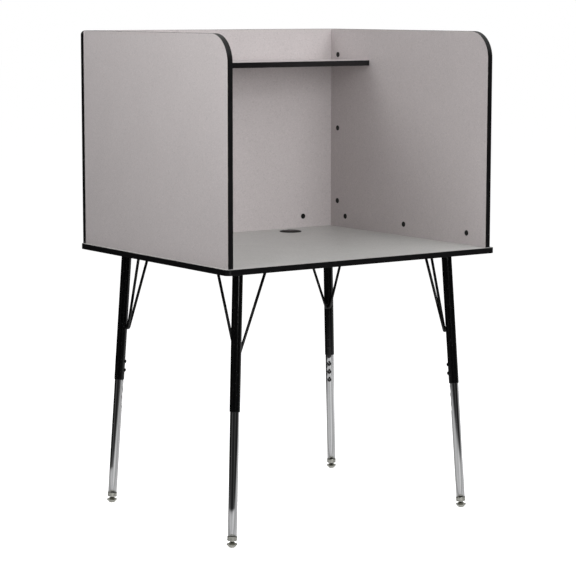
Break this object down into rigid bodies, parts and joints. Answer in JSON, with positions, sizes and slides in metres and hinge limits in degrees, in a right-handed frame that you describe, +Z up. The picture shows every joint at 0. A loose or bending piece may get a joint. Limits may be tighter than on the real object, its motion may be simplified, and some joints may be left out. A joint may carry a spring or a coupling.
{
  "type": "study carrel",
  "caption": "Study carrel: a desk with side and back privacy panels and a shelf, on splayed braced legs with telescoping feet and swivel glides.",
  "frame": {"origin": "on the floor, centred under the desk in width and depth", "axes": "+Z up; the open side of the carrel faces -Y; +X is to the right of a person seated at it"},
  "size_m": [0.9154, 0.767, 1.3696],
  "materials": {
    "laminate_board": "matt speckled grey laminate on chipboard",
    "edge_band": "satin black edge tape",
    "black_plastic": "satin black plastic",
    "black_paint": "gloss black enamel on steel",
    "chrome_tube": "bright chrome plate on steel",
    "nickel": "satin nickel plate on steel",
    "zinc_fastener": "zinc-plated steel"
  },
  "bodies": {
    "carrel": {"desk_top": "laminate_board", "desk_edge_band": "edge_band", "left_panel": "laminate_board", "right_panel": "laminate_board", "back_panel": "laminate_board", "left_panel_edge_band": "edge_band", "right_panel_edge_band": "edge_band", "back_panel_edge_band": "edge_band", "shelf": "laminate_board", "shelf_edge_band": "edge_band", "left_cam_locks": "zinc_fastener", "right_cam_locks": "zinc_fastener", "back_cam_locks": "zinc_fastener", "shelf_cam_locks": "zinc_fastener", "left_cam_covers": "black_plastic", "right_cam_covers": "black_plastic", "back_cam_covers": "black_plastic", "desk_cam_bolts": "zinc_fastener", "back_cam_bolts": "zinc_fastener", "shelf_cam_bolts": "zinc_fastener", "grommet_liner": "black_plastic", "leg_plate_screws": "zinc_fastener", "front_left_leg_plate": "black_paint", "front_left_upper_leg": "black_paint", "front_left_brace": "black_paint", "front_left_height_screws": "black_paint", "front_right_leg_plate": "black_paint", "front_right_upper_leg": "black_paint", "front_right_brace": "black_paint", "front_right_height_screws": "black_paint", "back_left_leg_plate": "black_paint", "back_left_upper_leg": "black_paint", "back_left_brace": "black_paint", "back_left_height_screws": "black_paint", "back_right_leg_plate": "black_paint", "back_right_upper_leg": "black_paint", "back_right_brace": "black_paint", "back_right_height_screws": "black_paint"},
    "front_left_lower_leg": {"front_left_lower_leg": "chrome_tube", "front_left_ferrule": "nickel"},
    "front_left_glide_stem": {"front_left_glide_stem": "nickel"},
    "front_left_glide_base": {"front_left_glide_base": "nickel"},
    "front_right_lower_leg": {"front_right_lower_leg": "chrome_tube", "front_right_ferrule": "nickel"},
    "front_right_glide_stem": {"front_right_glide_stem": "nickel"},
    "front_right_glide_base": {"front_right_glide_base": "nickel"},
    "back_left_lower_leg": {"back_left_lower_leg": "chrome_tube", "back_left_ferrule": "nickel"},
    "back_left_glide_stem": {"back_left_glide_stem": "nickel"},
    "back_left_glide_base": {"back_left_glide_base": "nickel"},
    "back_right_lower_leg": {"back_right_lower_leg": "chrome_tube", "back_right_ferrule": "nickel"},
    "back_right_glide_stem": {"back_right_glide_stem": "nickel"},
    "back_right_glide_base": {"back_right_glide_base": "nickel"},
    "grommet_cap": {"grommet_cap": "black_plastic"}
  },
  "joints": [
    {"name": "front_left_leg_height", "type": "slide", "parent": "carrel", "child": "front_left_lower_leg", "axis": [-0.0554, -0.0414, -0.9976], "range_m": [-0.1016, 0.1016]},
    {"name": "front_left_glide_level", "type": "slide", "parent": "front_left_lower_leg", "child": "front_left_glide_stem", "axis": [-0.0554, -0.0414, -0.9976], "range_m": [0, 0.01]},
    {"name": "front_left_glide_tilt", "type": "hinge", "parent": "front_left_glide_stem", "child": "front_left_glide_base", "pos_m": [-0.3993, -0.31603, 0.009], "axis": [0.5991, -0.8007, 0], "range_deg": [-10, 10]},
    {"name": "front_right_leg_height", "type": "slide", "parent": "carrel", "child": "front_right_lower_leg", "axis": [0.0554, -0.0414, -0.9976], "range_m": [-0.1016, 0.1016]},
    {"name": "front_right_glide_level", "type": "slide", "parent": "front_right_lower_leg", "child": "front_right_glide_stem", "axis": [0.0554, -0.0414, -0.9976], "range_m": [0, 0.01]},
    {"name": "front_right_glide_tilt", "type": "hinge", "parent": "front_right_glide_stem", "child": "front_right_glide_base", "pos_m": [0.3993, -0.31603, 0.009], "axis": [0.5991, 0.8007, 0], "range_deg": [-10, 10]},
    {"name": "back_left_leg_height", "type": "slide", "parent": "carrel", "child": "back_left_lower_leg", "axis": [-0.0554, 0.0414, -0.9976], "range_m": [-0.1016, 0.1016]},
    {"name": "back_left_glide_level", "type": "slide", "parent": "back_left_lower_leg", "child": "back_left_glide_stem", "axis": [-0.0554, 0.0414, -0.9976], "range_m": [0, 0.01]},
    {"name": "back_left_glide_tilt", "type": "hinge", "parent": "back_left_glide_stem", "child": "back_left_glide_base", "pos_m": [-0.3993, 0.31603, 0.009], "axis": [-0.5991, -0.8007, 0], "range_deg": [-10, 10]},
    {"name": "back_right_leg_height", "type": "slide", "parent": "carrel", "child": "back_right_lower_leg", "axis": [0.0554, 0.0414, -0.9976], "range_m": [-0.1016, 0.1016]},
    {"name": "back_right_glide_level", "type": "slide", "parent": "back_right_lower_leg", "child": "back_right_glide_stem", "axis": [0.0554, 0.0414, -0.9976], "range_m": [0, 0.01]},
    {"name": "back_right_glide_tilt", "type": "hinge", "parent": "back_right_glide_stem", "child": "back_right_glide_base", "pos_m": [0.3993, 0.31603, 0.009], "axis": [-0.5991, 0.8007, 0], "range_deg": [-10, 10]},
    {"name": "grommet_cap_turn", "type": "hinge", "parent": "carrel", "child": "grommet_cap", "pos_m": [0.2213, 0.289, 0.76], "axis": [0, 0, 1], "continuous": true}
  ]
}
